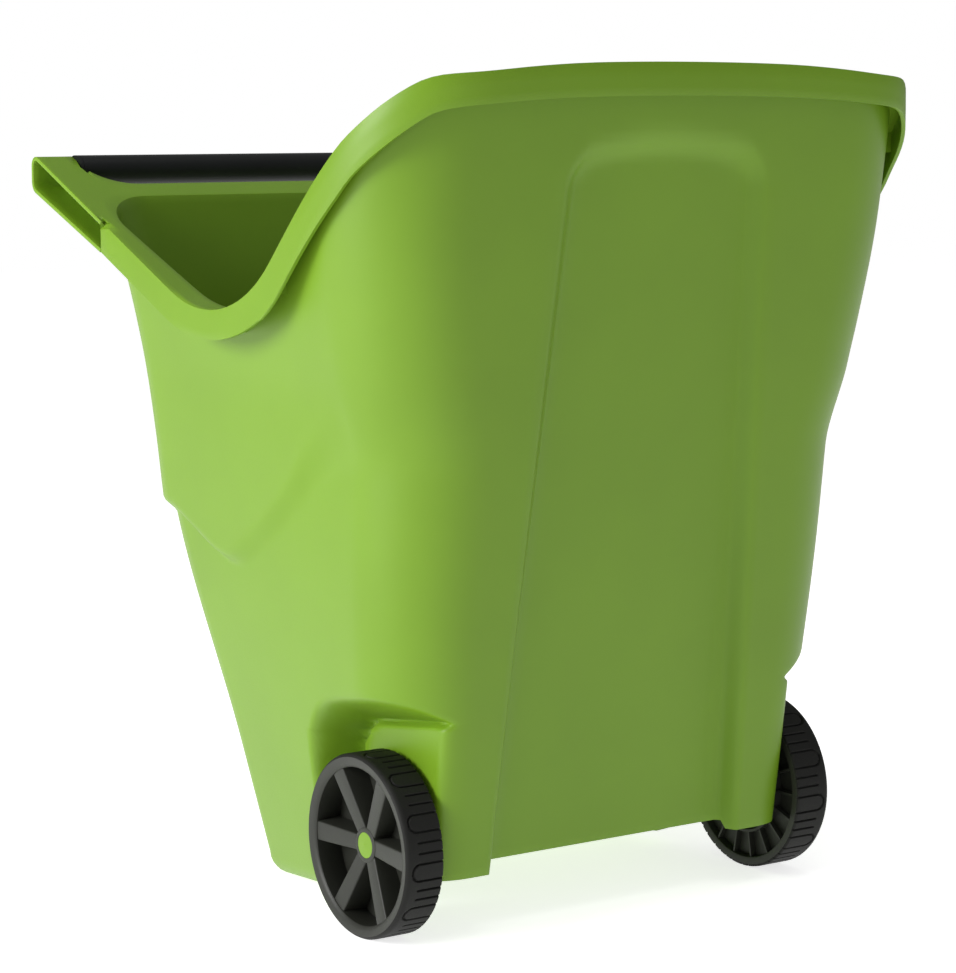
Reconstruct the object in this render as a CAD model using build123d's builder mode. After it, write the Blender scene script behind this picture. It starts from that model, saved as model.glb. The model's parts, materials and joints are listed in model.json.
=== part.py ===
"""Two-wheeled garden tub cart: a deep plastic tub on a steel axle, with a grip between two arms.

Millimetres. X runs across the cart, +Y towards the handle, +Z up. The origin is on the ground,
under the middle of the cart's bounding box, so the tub's rear foot and both wheels stand on z = 0.
"""

import os

from build123d import *

os.makedirs("parts", exist_ok=True)

# ---------------------------------------------------------------- driving dimensions
WALL = 3.4  # moulded wall of the tub
HEIGHT = 720.0  # ground to the top of the front rim
RIM_HALF = 291.0  # centre to the outer face of the rim skirt
RIM_FRONT = -300.0  # outer face of the front skirt
RIM_REAR = 235.0  # rear edge of the rim, where the hand goes behind it
ARM_END = 300.0  # rear end of the two arms

# the tub wall from the foot up: z, half width at the front, half width at the rear,
# front face, rear face, corner radius at the front, corner radius at the rear
WALL_REACH = 10.0  # the wall is drawn this far past the rim, which then cuts it
FOOT_Z, KNEE_Z, LEDGE_Z, BELT_Z, FLARE_Z = 12.0, 326.0, 338.0, 455.0, 600.0
FOOT = (FOOT_Z, 222.0, 170.0, -199.0, 104.0, 62.0, 42.0)
KNEE = (KNEE_Z, 238.0, 234.0, -235.0, 174.5, 76.0, 50.0)
LEDGE = (LEDGE_Z, 239.0, 241.0, -236.4, 185.0, 77.0, 52.0)
BELT = (BELT_Z, 256.0, 255.0, -249.7, 193.0, 82.0, 54.0)
FLARE = (
    FLARE_Z,
    RIM_HALF - 10.0,
    RIM_HALF - 13.0,
    RIM_FRONT + 33.7,
    RIM_REAR - 17.0,
    88.0,
    58.0,
)
TOP = (
    HEIGHT + WALL_REACH,
    RIM_HALF - 4.0,
    RIM_HALF - 4.0,
    RIM_FRONT + 19.0,
    RIM_REAR - 5.0,
    92.0,
    60.0,
)
WALL_STATIONS = (FOOT, KNEE, LEDGE, BELT, FLARE, TOP)
FOOT_ROUND = 11.0  # how far the wall draws in under its foot

# the rim, as seen from the side: two slopes that meet under the low point
SKIRT_DEPTH = 25.0
ARM_TOP_Z, ARM_SLOPE = 643.0, 0.437
DIP_Y, DIP_Z, DIP_RADIUS = -52.9, 488.8, 150.0
CREST_Y, CREST_Z, CREST_RADIUS = -222.0, 658.0, 150.0
CREST_SLOPE = -0.82
ARCH_DROP, ARCH_HALF = 20.0, 300.0  # the front rim falls by this much at this half width
RIM_CORNER = 105.0
RIB_POSITIONS = (-230.0, -178.0, -118.0, -40.0, 40.0, 110.0)
RIB_THICK = 2.4
RIB_DEPTH = 17.0

# the arms: channels that are open to the outside
ARM_WIDTH = 36.0
ARM_BOTTOM_Z, ARM_BOTTOM_SLOPE = 609.0, 0.405
ARM_START = 100.0
CHANNEL_START = 166.0
ARM_ROUND = 12.0
ARM_CORNER = 38.0
REAR_LIP = 12.0

# the sunk panel in the front wall
PANEL_HALF_LOW, PANEL_HALF_HIGH = 133.0, 105.0
PANEL_SHOULDER, PANEL_CROWN = 645.0, 662.0
PANEL_LOW_Y, PANEL_SLOPE = -177.5, -0.1308

# floor, feet and wheel wells
FLOOR_FLAT_Y, FLOOR_RISE_Y, FLOOR_RISE_Z = -22.0, -104.0, 104.0
FLOOR_SHIFT = 1.2  # how far the floor slope moves forward for each millimetre it drops
LIP_Z, FEET_Z = 60.0, 53.0
WELL_FACE, WELL_DEEP, WELL_DRAFT = 184.0, 170.0, 20.0
WELL_REAR, WELL_TOP, WELL_RADIUS = -58.0, 178.0, 30.0
BOSS_REAR, BOSS_TOP, BOSS_RADIUS = -89.0, 170.0, 24.0

# axle and wheels
AXLE_Y, AXLE_RADIUS, RUNNING = -143.5, 5.0, 0.06
AXLE_STUB, AXLE_CHAMFER = 12.0, 0.8
WHEEL_RADIUS, WHEEL_WIDTH, WHEEL_INNER = 77.5, 36.0, 189.0
WHEEL_SHOULDER = 3.0
RIM_THICK = 6.0
SPOKES, SPOKE_WIDTH, SPOKE_DEPTH, SPOKE_ROOT = 6, 16.0, 15.0, 2.0
HUB_RADIUS, HUB_OUTER, HUB_INNER = 15.0, 216.0, 187.9
RING_RADIUS, RING_THICK, RING_DEPTH, RIBS = 46.0, 2.2, 16.0, 18
DISC_START, DISC_THICK = 7.0, 2.4  # closed disc behind the spokes, from the inner face
CAP_RADIUS, CAP_THICK, CAP_SKIRT, CAP_DOME = 11.0, 2.4, 6.0, 0.8
CAP_POCKET = 17.0
BUSH_RADIUS, BUSH_FLANGE, BUSH_LENGTH = 9.0, 13.5, 14.0
WASHER_RADIUS, WASHER_THICK = 10.0, 1.5
NUT_RADIUS, NUT_THICK, NUT_LIP = 8.5, 3.6, 1.6
GAP = 0.25

# handle
GRIP_Y, GRIP_Z, GRIP_RADIUS = ARM_END - 15.0, ARM_TOP_Z - 17.0, 14.0
TUBE_RADIUS, TUBE_WALL = 11.0, 1.5
PARTING, PARTING_STEP = 10.5, 3.2
PANEL_OUT, PANEL_IN = 178.0, 8.0
PLUG_FLANGE, PLUG_LENGTH = 3.0, 32.0
SCREW_RADIUS, SCREW_HEAD, SCREW_HEAD_THICK, SCREW_LENGTH = 2.4, 5.5, 3.0, 26.0

BIG = 400.0  # reach of the cutting blocks, clear of the whole cart
AXLE_Z = WHEEL_RADIUS
WHEEL_OUTER = WHEEL_INNER + WHEEL_WIDTH
ARM_INNER = RIM_HALF - ARM_WIDTH


def write(builder, name):
    """Name a finished piece and save it as its own STEP file."""
    builder.part.label = name
    export_step(builder.part, f"parts/{name}.step")


# ---------------------------------------------------------------- shapes the tub is cut from
def wall_section(station, grow):
    """Plan of the tub wall at one height, moved outwards by grow."""
    z, half_front, half_rear, front, rear, round_front, round_rear = station
    with BuildSketch(Plane.XY.offset(z)) as plan:
        with BuildLine():
            Polyline(
                (-half_front - grow, front - grow),
                (half_front + grow, front - grow),
                (half_rear + grow, rear + grow),
                (-half_rear - grow, rear + grow),
                close=True,
            )
        make_face()
        fillet(plan.vertices().group_by(Axis.Y)[0], round_front + grow)
        fillet(plan.vertices().group_by(Axis.Y)[-1], round_rear + grow)
    return plan.sketch


def at_height(station, z):
    """The same wall section moved to another height."""
    return (z,) + station[1:]


def wall_body(grow, bottom):
    """Solid with the tub's sloping sides, moved outwards by grow."""
    with BuildPart() as body:
        add(wall_section(at_height(FOOT, bottom), grow - FOOT_ROUND))
        add(wall_section(FOOT, grow))
        loft(ruled=True)
        for lower, upper in zip(WALL_STATIONS, WALL_STATIONS[1:]):
            add(wall_section(lower, grow))
            add(wall_section(upper, grow))
            loft(ruled=True)
    return body.part


def arm_top(y):
    """Height of the arm's upper face."""
    return ARM_TOP_Z + ARM_SLOPE * (y - ARM_END)


def arm_bottom(y):
    """Height of the arm's lower face."""
    return ARM_BOTTOM_Z + ARM_BOTTOM_SLOPE * (y - ARM_END)


def under_rim(drop):
    """Everything that lies at least drop below the rim's top face."""
    with BuildPart() as under:
        with BuildSketch(Plane.YZ):
            with BuildLine():
                line = FilletPolyline(
                    (BIG, arm_top(BIG)),
                    (DIP_Y, DIP_Z),
                    (CREST_Y, CREST_Z),
                    (-BIG, CREST_Z + CREST_SLOPE * (-BIG - CREST_Y)),
                    radius=[DIP_RADIUS, CREST_RADIUS],
                )
                Polyline(line @ 1, (-BIG, -BIG), (BIG, -BIG), line @ 0)
            make_face()
            offset(amount=-drop, kind=Kind.INTERSECTION)
        extrude(amount=BIG, both=True)
        with BuildSketch(Plane.XZ):
            with BuildLine():
                arch = ThreePointArc(
                    (-ARCH_HALF, HEIGHT - ARCH_DROP - drop),
                    (0, HEIGHT - drop),
                    (ARCH_HALF, HEIGHT - ARCH_DROP - drop),
                )
                Polyline(arch @ 1, (ARCH_HALF, -BIG), (-ARCH_HALF, -BIG), arch @ 0)
            make_face()
        extrude(amount=BIG, both=True, mode=Mode.INTERSECT)
    return under.part


def rim_plan(inset):
    """Outline of the rim and arms in plan, as a tall block, moved inwards by inset."""
    with BuildPart() as block:
        with BuildSketch(Plane.XY.offset(DIP_Z - SKIRT_DEPTH)) as plan:
            with BuildLine():
                Polyline(
                    (-RIM_HALF, RIM_FRONT),
                    (RIM_HALF, RIM_FRONT),
                    (RIM_HALF, ARM_END),
                    (ARM_INNER, ARM_END),
                    (ARM_INNER, RIM_REAR),
                    (-ARM_INNER, RIM_REAR),
                    (-ARM_INNER, ARM_END),
                    (-RIM_HALF, ARM_END),
                    close=True,
                )
            make_face()
            fillet(plan.vertices().group_by(Axis.Y)[0], RIM_CORNER)
            inner_corners = [
                v
                for v in plan.vertices()
                if abs(v.Y - RIM_REAR) < 1 and abs(abs(v.X) - ARM_INNER) < 1
            ]
            fillet(inner_corners, ARM_CORNER)
            if inset:
                offset(amount=-inset, kind=Kind.INTERSECTION)
        extrude(amount=HEIGHT)
    return block.part


def front_panel(grow):
    """Sunk panel of the front wall, as the block that is pressed into it."""
    with BuildPart() as panel:
        with BuildSketch(Plane.XZ):
            with BuildLine():
                arch = ThreePointArc(
                    (PANEL_HALF_HIGH + grow, PANEL_SHOULDER + grow),
                    (0, PANEL_CROWN + grow),
                    (-PANEL_HALF_HIGH - grow, PANEL_SHOULDER + grow),
                )
                Polyline(
                    arch @ 1,
                    (-PANEL_HALF_LOW - grow, -grow),
                    (PANEL_HALF_LOW + grow, -grow),
                    arch @ 0,
                )
            make_face()
        extrude(amount=BIG)
        with BuildSketch(Plane.YZ):
            with BuildLine():
                Polyline(
                    (-BIG, -BIG),
                    (PANEL_LOW_Y + grow - PANEL_SLOPE * BIG, -BIG),
                    (PANEL_LOW_Y + grow + PANEL_SLOPE * HEIGHT, HEIGHT),
                    (-BIG, HEIGHT),
                    close=True,
                )
            make_face()
        extrude(amount=BIG, both=True, mode=Mode.INTERSECT)
    return panel.part


def side_block(rear, top, radius, face, draft):
    """Two blocks, outside x = face on both sides, up to a rounded rear top corner."""
    with BuildPart() as block:
        with BuildSketch(Plane.YZ.offset(face)) as side:
            with BuildLine():
                Polyline((-BIG, -BIG), (rear, -BIG), (rear, top), (-BIG, top), close=True)
            make_face()
            fillet(side.vertices().group_by(Axis.X)[-1].sort_by(Axis.Y)[-1], radius)
        extrude(amount=BIG - face, taper=-draft)
        mirror(about=Plane.YZ)
    return block.part


def boss_groove(grow):
    """Deeper groove that runs round the axle boss inside the wheel well."""
    with BuildPart() as groove:
        add(side_block(WELL_REAR + grow, WELL_TOP + grow, WELL_RADIUS + grow, WELL_DEEP - grow, 0))
        add(
            side_block(BOSS_REAR - grow, BOSS_TOP - grow, BOSS_RADIUS, WELL_DEEP - 2 * WALL, 0),
            mode=Mode.SUBTRACT,
        )
    return groove.part


def wheel_well(grow):
    """Wheel well, moved into the wall by grow."""
    face = WELL_FACE - grow
    with BuildPart() as well:
        add(side_block(WELL_REAR + grow, WELL_TOP + grow, WELL_RADIUS + grow, face, WELL_DRAFT))
        add(boss_groove(grow))
    return well.part


def under_floor(drop):
    """Space below the floor, which rises at the front to clear the axle."""
    slope_shift = drop * FLOOR_SHIFT
    with BuildPart() as space:
        with BuildSketch(Plane.YZ):
            with BuildLine():
                Polyline(
                    (FLOOR_FLAT_Y - slope_shift, -BIG),
                    (FLOOR_FLAT_Y - slope_shift, 0),
                    (FLOOR_RISE_Y - slope_shift, FLOOR_RISE_Z - drop),
                    (-BIG, FLOOR_RISE_Z - drop),
                    (-BIG, -BIG),
                    close=True,
                )
            make_face()
        extrude(amount=BIG, both=True)
    return space.part


# ---------------------------------------------------------------- tub
top_face = under_rim(0)
flange_band = rim_plan(0)
outer_wall = wall_body(0, 0)

with BuildPart() as cavity:
    add(wall_body(-WALL, WALL))
    add(under_floor(0), mode=Mode.SUBTRACT)
    add(front_panel(WALL), mode=Mode.SUBTRACT)
    add(wheel_well(WALL), mode=Mode.SUBTRACT)

with BuildPart() as underside:
    add(wall_body(-WALL, -BIG))
    add(under_floor(WALL), mode=Mode.INTERSECT)
    add(front_panel(WALL), mode=Mode.SUBTRACT)
    add(wheel_well(WALL), mode=Mode.SUBTRACT)

with BuildPart() as arms:
    with BuildSketch(Plane.YZ.offset(ARM_INNER)):
        with BuildLine():
            Polyline(
                (ARM_START, arm_bottom(ARM_START)),
                (ARM_END, arm_bottom(ARM_END)),
                (ARM_END, arm_top(ARM_END)),
                (ARM_START, arm_top(ARM_START)),
                close=True,
            )
        make_face()
    extrude(amount=ARM_WIDTH)
    fillet(arms.edges().filter_by(Axis.X).group_by(Axis.Y)[-1], ARM_ROUND)
    with BuildSketch(Plane.YZ.offset(ARM_INNER + WALL)):
        with BuildLine():
            Polyline(
                (CHANNEL_START, arm_bottom(CHANNEL_START) + WALL),
                (ARM_END - WALL, arm_bottom(ARM_END - WALL) + WALL),
                (ARM_END - WALL, arm_top(ARM_END - WALL) - WALL),
                (CHANNEL_START, arm_top(CHANNEL_START) - WALL),
                close=True,
            )
        channel = make_face()
        fillet(channel.vertices().group_by(Axis.X)[-1], ARM_ROUND - WALL)
    extrude(amount=ARM_WIDTH, mode=Mode.SUBTRACT)
    with Locations((ARM_INNER, GRIP_Y, GRIP_Z)):
        Cylinder(SCREW_RADIUS + GAP, 4 * WALL, rotation=(0, 90, 0), mode=Mode.SUBTRACT)
    mirror(about=Plane.YZ)

with BuildPart() as flange:
    add(flange_band)
    add(top_face, mode=Mode.INTERSECT)
    add(under_rim(WALL), mode=Mode.SUBTRACT)

with BuildPart() as skirt:
    add(flange_band)
    add(rim_plan(WALL), mode=Mode.SUBTRACT)
    add(top_face, mode=Mode.INTERSECT)
    add(under_rim(SKIRT_DEPTH), mode=Mode.SUBTRACT)
    with Locations((0, CHANNEL_START, 0)):
        Box(4 * BIG, 4 * BIG, 4 * BIG, align=(Align.CENTER, Align.MAX, Align.CENTER), mode=Mode.INTERSECT)

with BuildPart() as rear_lip:
    add(flange_band)
    add(rim_plan(WALL), mode=Mode.SUBTRACT)
    add(top_face, mode=Mode.INTERSECT)
    add(under_rim(REAR_LIP), mode=Mode.SUBTRACT)
    with Locations((0, RIM_REAR - WALL, 0)):
        Box(
            2 * ARM_INNER,
            4 * BIG,
            4 * BIG,
            align=(Align.CENTER, Align.MIN, Align.CENTER),
            mode=Mode.INTERSECT,
        )

with BuildPart() as ribs:
    with Locations(*[(0, y, 0) for y in RIB_POSITIONS]):
        Box(4 * BIG, RIB_THICK, 4 * BIG)
    add(rim_plan(WALL / 2), mode=Mode.INTERSECT)
    add(top_face, mode=Mode.INTERSECT)
    add(under_rim(RIB_DEPTH), mode=Mode.SUBTRACT)

with BuildPart() as tub:
    add(outer_wall)
    add(top_face, mode=Mode.INTERSECT)
    add(arms.part)
    add(flange.part)
    add(skirt.part)
    add(rear_lip.part)
    add(ribs.part)
    add(front_panel(0), mode=Mode.SUBTRACT)
    add(wheel_well(0), mode=Mode.SUBTRACT)
    add(cavity.part, mode=Mode.SUBTRACT)
    add(underside.part, mode=Mode.SUBTRACT)
    # the wall ends at the feet in front and at the lip between them
    with BuildSketch(Plane.YZ):
        with BuildLine():
            Polyline(
                (WELL_REAR - WALL, -BIG),
                (WELL_REAR - WALL, 0),
                (BOSS_REAR, FEET_Z),
                (-BIG, FEET_Z),
                (-BIG, -BIG),
                close=True,
            )
        make_face()
    extrude(amount=BIG, both=True, mode=Mode.SUBTRACT)
    with Locations((0, RIM_FRONT, LIP_Z)):
        Box(
            2 * PANEL_HALF_LOW - 4 * WALL,
            FLOOR_RISE_Y - WALL - RIM_FRONT,
            BIG,
            align=(Align.CENTER, Align.MIN, Align.MAX),
            mode=Mode.SUBTRACT,
        )
    with Locations((0, AXLE_Y, AXLE_Z)):
        Cylinder(BUSH_RADIUS + RUNNING, 2 * BIG, rotation=(0, 90, 0), mode=Mode.SUBTRACT)
write(tub, "tub")


# ---------------------------------------------------------------- axle and its bushes
AXLE_END = HUB_OUTER - CAP_POCKET + AXLE_STUB

with BuildPart(Plane.YZ) as axle:
    with Locations((AXLE_Y, AXLE_Z)):
        Cylinder(AXLE_RADIUS, 2 * AXLE_END)
    chamfer(axle.edges().filter_by(GeomType.CIRCLE), AXLE_CHAMFER)
write(axle, "axle")

SIDES = {"left": -1, "right": 1}
BORE = AXLE_RADIUS + RUNNING


def turned(radius_points, side):
    """Solid of revolution about the axle line: (x, radius) points, on one side of the cart."""
    with BuildPart() as body:
        with BuildSketch(Plane.XY):
            with BuildLine():
                Polyline(*[(x, AXLE_Y + r) for x, r in radius_points], close=True)
            make_face()
        revolve(axis=Axis((0, AXLE_Y, 0), (1, 0, 0)), revolution_arc=360)
    moved = body.part.moved(Location((0, 0, AXLE_Z)))
    return moved if side > 0 else moved.mirror(Plane.YZ)


def across(side, x):
    """Plane across the axle line at distance x from the middle, facing outwards."""
    return Plane(origin=(side * x, AXLE_Y, AXLE_Z), x_dir=(0, 1, 0), z_dir=(side, 0, 0))


for word, side in SIDES.items():
    with BuildPart() as axle_bush:
        add(
            turned(
                [
                    (WELL_FACE - BUSH_LENGTH, BORE),
                    (WELL_FACE + WALL / 2 + GAP, BORE),
                    (WELL_FACE + WALL / 2 + GAP, BUSH_FLANGE),
                    (WELL_FACE + GAP / 2, BUSH_FLANGE),
                    (WELL_FACE + GAP / 2, BUSH_RADIUS),
                    (WELL_FACE - BUSH_LENGTH, BUSH_RADIUS),
                ],
                side,
            )
        )
    write(axle_bush, f"axle_bush_{word}")

    spacer_start = WELL_FACE + WALL / 2 + 2 * GAP
    with BuildPart() as spacer:
        add(
            turned(
                [
                    (spacer_start, BORE),
                    (HUB_INNER - GAP, BORE),
                    (HUB_INNER - GAP, WASHER_RADIUS),
                    (spacer_start, WASHER_RADIUS),
                ],
                side,
            )
        )
    write(spacer, f"spacer_washer_{word}")

    # ------------------------------------------------------------ wheel
    pocket = HUB_OUTER - CAP_POCKET
    with BuildPart() as wheel:
        add(
            turned(
                [
                    (WHEEL_INNER, WHEEL_RADIUS - RIM_THICK),
                    (WHEEL_INNER, WHEEL_RADIUS - WHEEL_SHOULDER / 2),
                    (WHEEL_INNER + WHEEL_SHOULDER / 2, WHEEL_RADIUS),
                    (WHEEL_OUTER - WHEEL_SHOULDER, WHEEL_RADIUS),
                    (WHEEL_OUTER, WHEEL_RADIUS - WHEEL_SHOULDER),
                    (WHEEL_OUTER, WHEEL_RADIUS - RIM_THICK - WHEEL_SHOULDER),
                    (WHEEL_OUTER - WHEEL_SHOULDER, WHEEL_RADIUS - RIM_THICK - WHEEL_SHOULDER),
                    (WHEEL_OUTER - 2 * WHEEL_SHOULDER, WHEEL_RADIUS - RIM_THICK),
                ],
                side,
            )
        )
        add(
            turned(
                [
                    (HUB_INNER, BORE),
                    (pocket, BORE),
                    (pocket, CAP_RADIUS),
                    (HUB_OUTER, CAP_RADIUS),
                    (HUB_OUTER, HUB_RADIUS),
                    (HUB_INNER, HUB_RADIUS),
                ],
                side,
            )
        )
        add(
            turned(
                [
                    (WHEEL_INNER, RING_RADIUS - RING_THICK),
                    (WHEEL_OUTER - 2 * WHEEL_SHOULDER - SPOKE_DEPTH / 2, RING_RADIUS - RING_THICK),
                    (WHEEL_OUTER - 2 * WHEEL_SHOULDER - SPOKE_DEPTH / 2, RING_RADIUS),
                    (WHEEL_INNER, RING_RADIUS),
                ],
                side,
            )
        )
        add(
            turned(
                [
                    (WHEEL_INNER + DISC_START, HUB_RADIUS - SPOKE_ROOT),
                    (WHEEL_INNER + DISC_START + DISC_THICK, HUB_RADIUS - SPOKE_ROOT),
                    (WHEEL_INNER + DISC_START + DISC_THICK, WHEEL_RADIUS - RIM_THICK / 2),
                    (WHEEL_INNER + DISC_START, WHEEL_RADIUS - RIM_THICK / 2),
                ],
                side,
            )
        )
        spoke_middle = (HUB_RADIUS + WHEEL_RADIUS - RIM_THICK) / 2
        spoke_length = WHEEL_RADIUS - RIM_THICK - HUB_RADIUS + SPOKE_ROOT
        with Locations(across(side, HUB_OUTER - SPOKE_DEPTH)):
            with PolarLocations(spoke_middle, SPOKES):
                Box(
                    spoke_length,
                    SPOKE_WIDTH,
                    SPOKE_DEPTH,
                    align=(Align.CENTER, Align.CENTER, Align.MIN),
                )
        rib_length = WHEEL_RADIUS - RIM_THICK - RING_RADIUS + 2 * RING_THICK
        with Locations(across(side, WHEEL_INNER)):
            with PolarLocations(RING_RADIUS - RING_THICK + rib_length / 2, RIBS):
                Box(
                    rib_length,
                    RIB_THICK,
                    RING_DEPTH,
                    align=(Align.CENTER, Align.CENTER, Align.MIN),
                )
    write(wheel, f"wheel_{word}")

    # ------------------------------------------------------------ what holds the wheel on
    with BuildPart() as outer_washer:
        add(
            turned(
                [
                    (pocket + GAP, BORE),
                    (pocket + GAP + WASHER_THICK, BORE),
                    (pocket + GAP + WASHER_THICK, WASHER_RADIUS),
                    (pocket + GAP, WASHER_RADIUS),
                ],
                side,
            )
        )
    write(outer_washer, f"outer_washer_{word}")

    nut_start = pocket + 2 * GAP + WASHER_THICK
    with BuildPart() as push_nut:
        add(
            turned(
                [
                    (nut_start, AXLE_RADIUS + RUNNING / 2),
                    (nut_start + NUT_THICK, AXLE_RADIUS + RUNNING / 2),
                    (nut_start + NUT_THICK, AXLE_RADIUS + NUT_LIP),
                    (nut_start + NUT_THICK / 2, NUT_RADIUS),
                    (nut_start, NUT_RADIUS),
                ],
                side,
            )
        )
    write(push_nut, f"push_nut_{word}")

    cap_edge = CAP_RADIUS - GAP
    with BuildPart() as hub_cap:
        add(
            turned(
                [
                    (HUB_OUTER - CAP_THICK, 0),
                    (HUB_OUTER + CAP_DOME, 0),
                    (HUB_OUTER, cap_edge),
                    (HUB_OUTER - CAP_SKIRT, cap_edge),
                    (HUB_OUTER - CAP_SKIRT, cap_edge - CAP_THICK / 2),
                    (HUB_OUTER - CAP_THICK, cap_edge - CAP_THICK / 2),
                ],
                side,
            )
        )
    write(hub_cap, f"hub_cap_{word}")

# ---------------------------------------------------------------- handle
GRIP_HALF = ARM_INNER - GAP
TUBE_HALF = GRIP_HALF - PLUG_FLANGE - GAP

with BuildPart(Plane.YZ) as handle_tube:
    with Locations((GRIP_Y, GRIP_Z)):
        Cylinder(TUBE_RADIUS, 2 * TUBE_HALF)
        Cylinder(TUBE_RADIUS - TUBE_WALL, 2 * TUBE_HALF, mode=Mode.SUBTRACT)
write(handle_tube, "handle_tube")

with BuildPart() as grip_low_zone:
    with BuildSketch(Plane.XZ.offset(-GRIP_Y)):
        with BuildLine():
            step_z = GRIP_Z - PARTING
            panel_z = step_z + PARTING_STEP
            Polyline(
                (-GRIP_HALF - WALL, GRIP_Z - 2 * GRIP_RADIUS),
                (-GRIP_HALF - WALL, step_z),
                (-PANEL_OUT, step_z),
                (-PANEL_OUT, panel_z),
                (-PANEL_IN, panel_z),
                (-PANEL_IN, step_z),
                (PANEL_IN, step_z),
                (PANEL_IN, panel_z),
                (PANEL_OUT, panel_z),
                (PANEL_OUT, step_z),
                (GRIP_HALF + WALL, step_z),
                (GRIP_HALF + WALL, GRIP_Z - 2 * GRIP_RADIUS),
                close=True,
            )
        make_face()
    extrude(amount=2 * GRIP_RADIUS, both=True)

with BuildPart(Plane.YZ) as grip_sleeve:
    with Locations((GRIP_Y, GRIP_Z)):
        Cylinder(GRIP_RADIUS, 2 * TUBE_HALF)
        Cylinder(TUBE_RADIUS + GAP / 2, 2 * TUBE_HALF, mode=Mode.SUBTRACT)

with BuildPart() as grip_upper:
    add(grip_sleeve.part)
    add(grip_low_zone.part, mode=Mode.SUBTRACT)
write(grip_upper, "grip_upper")

with BuildPart() as grip_lower:
    add(grip_sleeve.part)
    add(grip_low_zone.part, mode=Mode.INTERSECT)
write(grip_lower, "grip_lower")

for word, side in SIDES.items():
    with BuildPart(Plane.YZ) as handle_plug:
        with Locations(Location((GRIP_Y, GRIP_Z, side * (GRIP_HALF - PLUG_FLANGE / 2)))):
            Cylinder(GRIP_RADIUS, PLUG_FLANGE)
        with Locations(Location((GRIP_Y, GRIP_Z, side * (GRIP_HALF - PLUG_FLANGE - PLUG_LENGTH / 2)))):
            Cylinder(TUBE_RADIUS - TUBE_WALL - RUNNING, PLUG_LENGTH)
        with Locations((GRIP_Y, GRIP_Z)):
            Cylinder(SCREW_RADIUS + RUNNING, 3 * BIG, mode=Mode.SUBTRACT)
    write(handle_plug, f"handle_plug_{word}")

with BuildPart(Plane.YZ) as handle_screws:
    for side in SIDES.values():
        head_start = ARM_INNER + WALL
        with Locations(Location((GRIP_Y, GRIP_Z, side * (head_start + SCREW_HEAD_THICK / 2)))):
            Cylinder(SCREW_HEAD, SCREW_HEAD_THICK)
        with Locations(Location((GRIP_Y, GRIP_Z, side * (head_start - SCREW_LENGTH / 2)))):
            Cylinder(SCREW_RADIUS, SCREW_LENGTH)
write(handle_screws, "handle_screws")
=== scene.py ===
# %% [markdown]
# # A two-wheeled garden tub cart
# The cart is one deep tub, moulded in green plastic, on two black wheels. It is tipped back
# and pulled by a grip between two arms at the back of the rim. The tub is almost all of what
# one sees, and its shape follows rules: a plan that grows from the foot to the rim, a rim that
# dips at the sides, and a few reliefs pressed into the wall. So it is made as one sheet whose
# points come from those rules, and then given its wall thickness. The wheels repeat one spoke,
# one rib and one stretch of tread, so Geometry Nodes carry those round the axle.

# %% The frame that every piece is built around
import json
import math

import bmesh
import bpy
import numpy as np
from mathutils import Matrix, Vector


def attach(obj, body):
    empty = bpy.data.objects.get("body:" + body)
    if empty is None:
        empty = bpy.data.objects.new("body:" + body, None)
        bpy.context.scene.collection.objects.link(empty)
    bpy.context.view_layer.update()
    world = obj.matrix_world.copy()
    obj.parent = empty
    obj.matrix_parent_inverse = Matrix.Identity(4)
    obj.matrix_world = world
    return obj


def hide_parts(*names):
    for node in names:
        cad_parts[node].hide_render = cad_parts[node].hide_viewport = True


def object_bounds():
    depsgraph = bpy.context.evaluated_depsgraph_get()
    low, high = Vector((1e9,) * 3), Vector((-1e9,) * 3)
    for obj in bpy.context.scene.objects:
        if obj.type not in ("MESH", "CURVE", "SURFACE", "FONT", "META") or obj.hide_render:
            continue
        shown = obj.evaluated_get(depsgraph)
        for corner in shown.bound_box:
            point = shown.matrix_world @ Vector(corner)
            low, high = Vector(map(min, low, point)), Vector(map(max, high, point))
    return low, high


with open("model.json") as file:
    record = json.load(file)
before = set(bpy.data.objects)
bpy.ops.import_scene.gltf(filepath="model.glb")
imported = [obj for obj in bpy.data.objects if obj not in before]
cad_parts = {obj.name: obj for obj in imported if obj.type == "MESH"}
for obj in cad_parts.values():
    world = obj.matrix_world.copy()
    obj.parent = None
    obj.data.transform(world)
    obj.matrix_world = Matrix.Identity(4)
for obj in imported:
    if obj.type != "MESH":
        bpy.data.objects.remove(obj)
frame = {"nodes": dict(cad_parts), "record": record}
cad_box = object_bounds()
MM = 0.001
SIDES = {"left": -1, "right": 1}

# %% [markdown]
# ## Materials
# Moulded polypropylene isn't a flat colour: light goes a little way in, the surface has a fine
# spark-eroded grain, and the wall is slightly cloudy where it cooled at different speeds. Each
# finish below is a Principled shader with noise on Object coordinates, so that the pattern stays
# with the piece. A large soft noise shifts the colour, a fine one makes the grain.


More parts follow.
